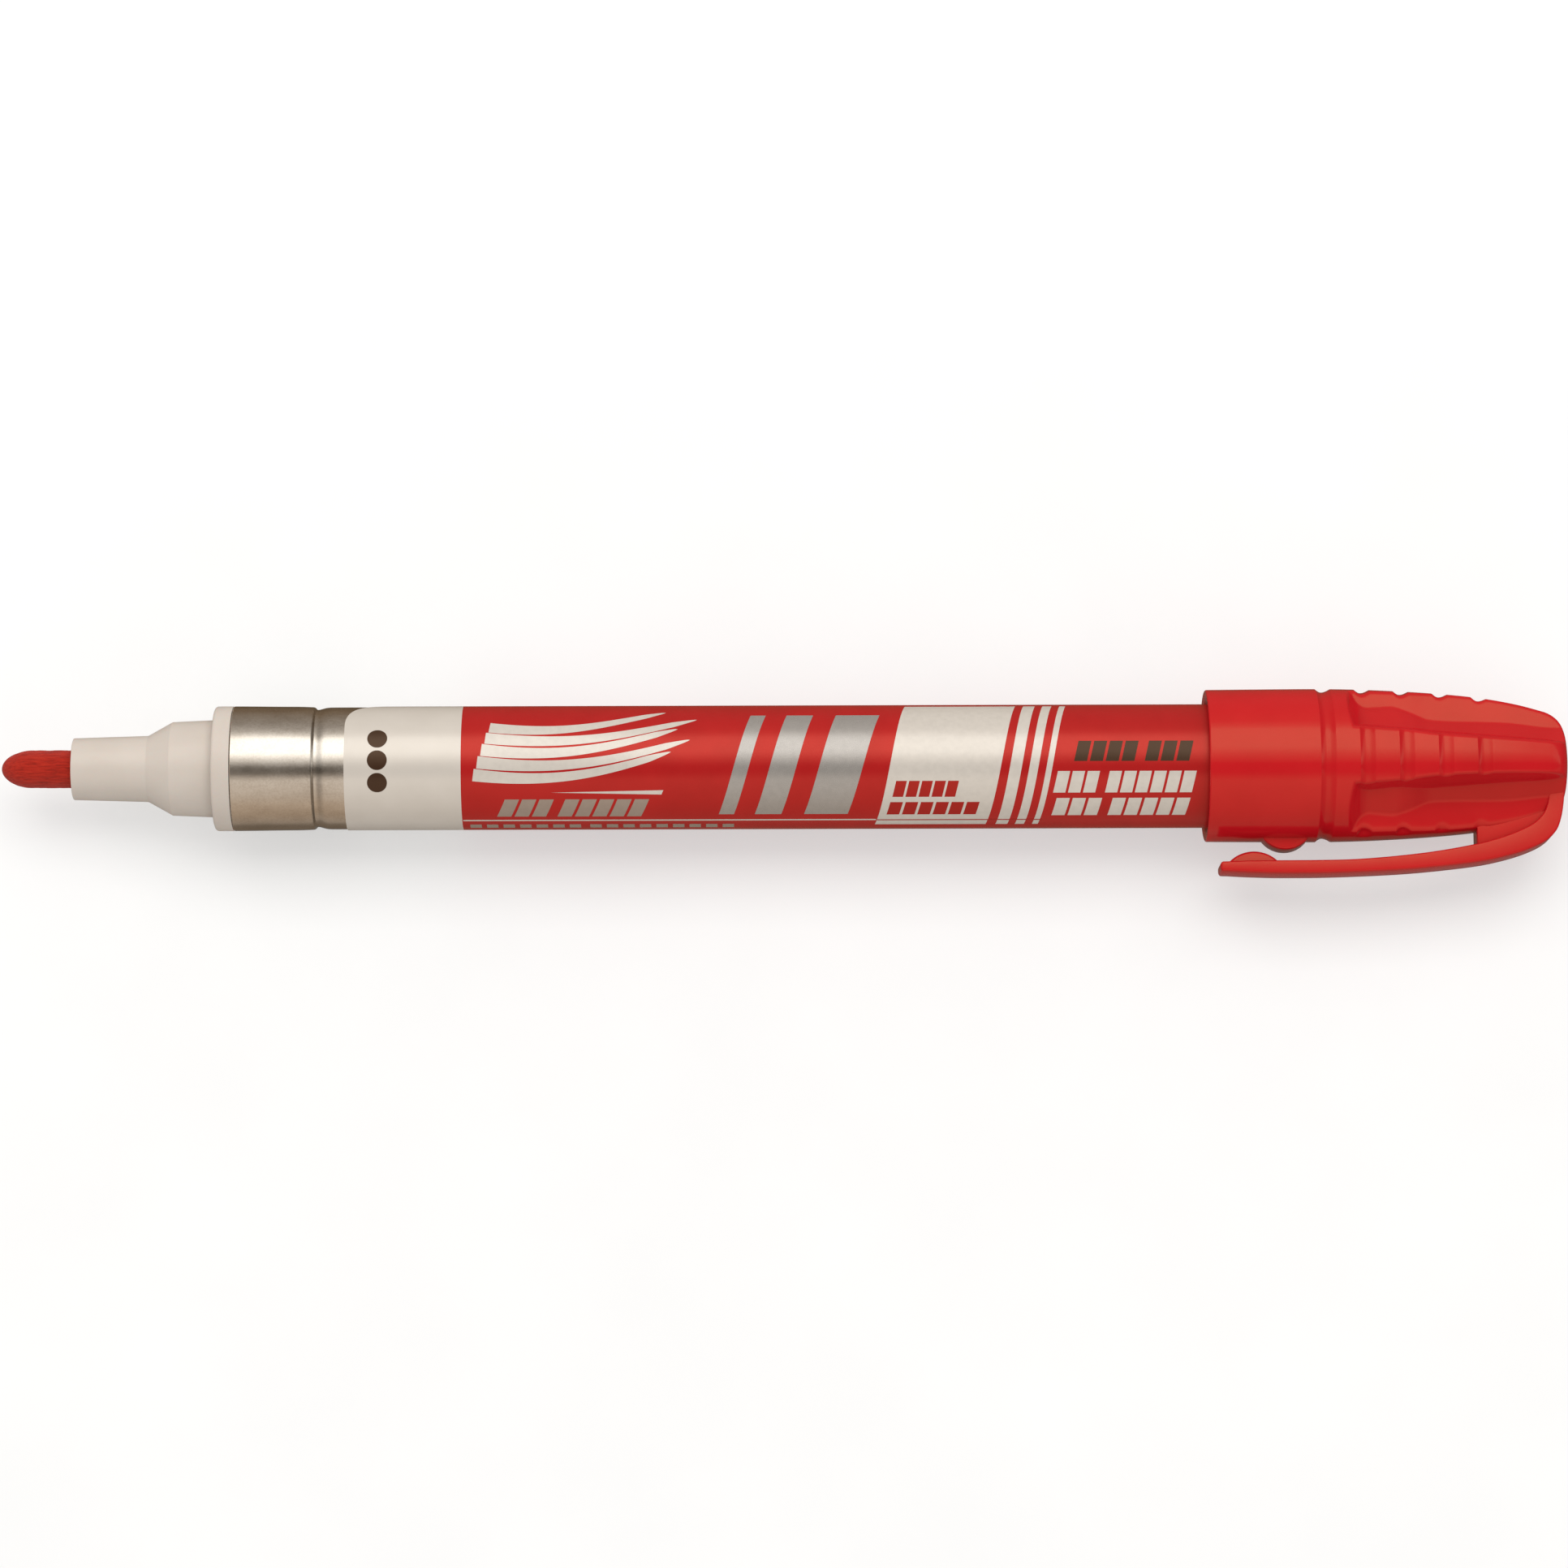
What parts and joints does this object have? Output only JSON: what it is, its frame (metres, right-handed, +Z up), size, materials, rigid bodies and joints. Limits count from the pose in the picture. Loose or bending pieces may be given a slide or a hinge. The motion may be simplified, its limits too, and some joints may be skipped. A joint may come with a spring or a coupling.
{
  "type": "felt tip paint marker",
  "caption": "Valve-action felt tip paint marker with a bullet nib, stepped nozzle, metal barrel with a printed film label, and a lobed clip cap pushed on the back.",
  "frame": {"origin": "on the resting plane, under the middle of the marker's footprint", "axes": "+X along the marker's axis from the nib to the cap's end, the clip stands off towards -Y, +Z up; the axis lies 8.17 mm above the plane"},
  "size_m": [0.1662, 0.02, 0.0163],
  "materials": {
    "felt": "pressed acrylic felt, soaked with red paint",
    "white_plastic": "satin moulded polypropylene",
    "natural_plastic": "natural, slightly milky polypropylene",
    "rubber": "matt solvent-proof rubber",
    "steel": "bright stainless steel",
    "aluminium": "bright drawn aluminium with fine lengthwise lines",
    "label_film": "glossy printed film, red with off-white panels",
    "red_plastic": "semi-gloss moulded polypropylene"
  },
  "bodies": {
    "barrel": {"barrel": "aluminium", "label": "label_film", "nozzle": "white_plastic", "barrel_seal": "rubber", "valve_seat": "rubber", "valve_cage": "natural_plastic", "valve_spring": "steel"},
    "nib": {"nib": "felt"},
    "valve_stem": {"valve_stem": "white_plastic"},
    "mixing_ball_1": {"mixing_ball_1": "steel"},
    "mixing_ball_2": {"mixing_ball_2": "steel"},
    "cap": {"cap": "red_plastic", "inner_cap": "natural_plastic"},
    "clip": {"clip": "red_plastic"}
  },
  "joints": [
    {"name": "nib_press", "type": "slide", "parent": "barrel", "child": "nib", "axis": [1, 0, 0], "range_m": [0, 0.0016]},
    {"name": "valve_lift", "type": "slide", "parent": "barrel", "child": "valve_stem", "axis": [1, 0, 0], "range_m": [0, 0.0016], "deforming": ["valve_spring"]},
    {"name": "ball_1_roll", "type": "slide", "parent": "barrel", "child": "mixing_ball_1", "axis": [1, 0, 0], "range_m": [-0.0205, 0.072]},
    {"name": "ball_2_roll", "type": "slide", "parent": "barrel", "child": "mixing_ball_2", "axis": [1, 0, 0], "range_m": [-0.0285, 0.064]},
    {"name": "cap_slide", "type": "slide", "parent": "barrel", "child": "cap", "axis": [1, 0, 0], "range_m": [0, 0.04]},
    {"name": "clip_flex", "type": "hinge", "parent": "cap", "child": "clip", "pos_m": [0.07445, -0.00775, 0.00817], "axis": [0, 0, 1], "range_deg": [0, 6]}
  ],
  "couplings": [
    {"joint": "valve_lift", "follows": "nib_press", "ratio": 1}
  ]
}
